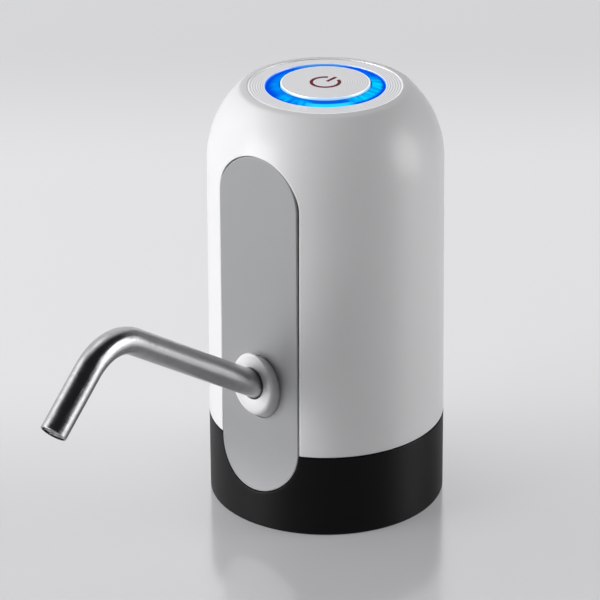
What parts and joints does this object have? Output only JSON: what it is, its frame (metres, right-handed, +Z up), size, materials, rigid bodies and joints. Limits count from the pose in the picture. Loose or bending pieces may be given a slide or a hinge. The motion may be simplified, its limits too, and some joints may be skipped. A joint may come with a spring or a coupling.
{
  "type": "electric water jug pump",
  "caption": "Rechargeable pump that sits on the neck of a large water bottle and delivers water from a bent, swivelling steel spout at the press of a lit button.",
  "frame": {"origin": "centre of the bottle neck socket's mouth, on the body's axis, in the plane of the base's foot", "axes": "+Z up along the body, the spout reaches towards -Y, +X to the right seen from the spout's side"},
  "size_m": [0.072, 0.1646, 0.1328],
  "materials": {
    "shell_white": "smooth white ABS with a soft gloss",
    "base_black": "satin black ABS",
    "panel_grey": "satin grey plastic",
    "disc_metal": "aluminium turned with fine concentric grooves",
    "light_blue": "translucent acrylic lit blue from below",
    "spout_steel": "brushed stainless steel",
    "screw_steel": "zinc plated",
    "motor_steel": "plated steel",
    "clear_silicone": "milky silicone",
    "dark_rubber": "black rubber",
    "natural_plastic": "unpigmented moulding",
    "board_green": "solder mask on glass epoxy",
    "led_body": "resin package",
    "magnet_grey": "sintered ferrite",
    "rotor_copper": "laminated steel with enamelled copper windings",
    "cell_wrap": "shrink wrap over a steel can",
    "lead_red": "insulation",
    "lead_black": "insulation",
    "lead_white": "insulation"
  },
  "bodies": {
    "housing": {"outer_shell": "shell_white", "base_shell": "base_black", "front_panel": "panel_grey", "base_screw_1": "screw_steel", "base_screw_2": "screw_steel", "base_screw_3": "screw_steel", "base_screw_4": "screw_steel", "neck_sleeve": "clear_silicone", "rim_pad": "clear_silicone", "spout_oring_outer": "dark_rubber", "spout_oring_inner": "dark_rubber", "outlet_collar": "shell_white", "spout_socket": "natural_plastic", "socket_screw_left": "screw_steel", "socket_screw_right": "screw_steel", "inlet_fitting": "natural_plastic", "inlet_nut": "natural_plastic", "inlet_hose": "clear_silicone", "outlet_hose": "clear_silicone", "top_plate": "disc_metal", "light_ring": "light_blue", "button_frame": "shell_white", "tact_switch": "base_black", "button_board": "board_green", "led_1": "led_body", "led_2": "led_body", "led_3": "led_body", "led_4": "led_body", "pump_head": "base_black", "valve_sheet": "clear_silicone", "chamber_plate": "natural_plastic", "diaphragm": "dark_rubber", "pump_housing": "base_black", "pump_screw_1": "screw_steel", "pump_screw_2": "screw_steel", "pump_screw_3": "screw_steel", "motor_can": "motor_steel", "motor_magnet_left": "magnet_grey", "motor_magnet_right": "magnet_grey", "motor_end_cap": "shell_white", "battery_cell": "cell_wrap", "chassis": "natural_plastic", "control_board": "board_green", "control_chip": "base_black", "charging_port": "motor_steel", "board_screw_left": "screw_steel", "board_screw_right": "screw_steel", "motor_lead_red": "lead_red", "motor_lead_black": "lead_black", "battery_lead_top": "lead_red", "battery_lead_bottom": "lead_black", "button_cable": "lead_white"},
    "button": {"power_button": "disc_metal", "button_carrier": "shell_white", "switch_plunger": "base_black"},
    "spout": {"spout_tube": "spout_steel", "spout_screen": "spout_steel"},
    "rotor": {"motor_rotor": "rotor_copper", "crank": "natural_plastic"},
    "wobble": {"wobble_plate": "natural_plastic"}
  },
  "joints": [
    {"name": "button_press", "type": "slide", "parent": "housing", "child": "button", "axis": [0, 0, -1], "range_m": [0, 0.0005], "stiffness_N_per_m": 2500, "springref_m": -0.0003},
    {"name": "spout_swivel", "type": "hinge", "parent": "housing", "child": "spout", "pos_m": [0, -0.033, 0.04554], "axis": [0, -0.8466, 0.5323], "continuous": true},
    {"name": "motor_spin", "type": "hinge", "parent": "housing", "child": "rotor", "pos_m": [0, -0.0105, 0.0969], "axis": [0, 0, 1], "continuous": true},
    {"name": "wobble_rock", "type": "hinge", "parent": "rotor", "child": "wobble", "pos_m": [0, -0.0105, 0.07316], "axis": [0, 0.1045, 0.9945], "continuous": true, "deforming": ["diaphragm"]}
  ],
  "couplings": [
    {"joint": "wobble_rock", "follows": "motor_spin", "ratio": -1}
  ]
}
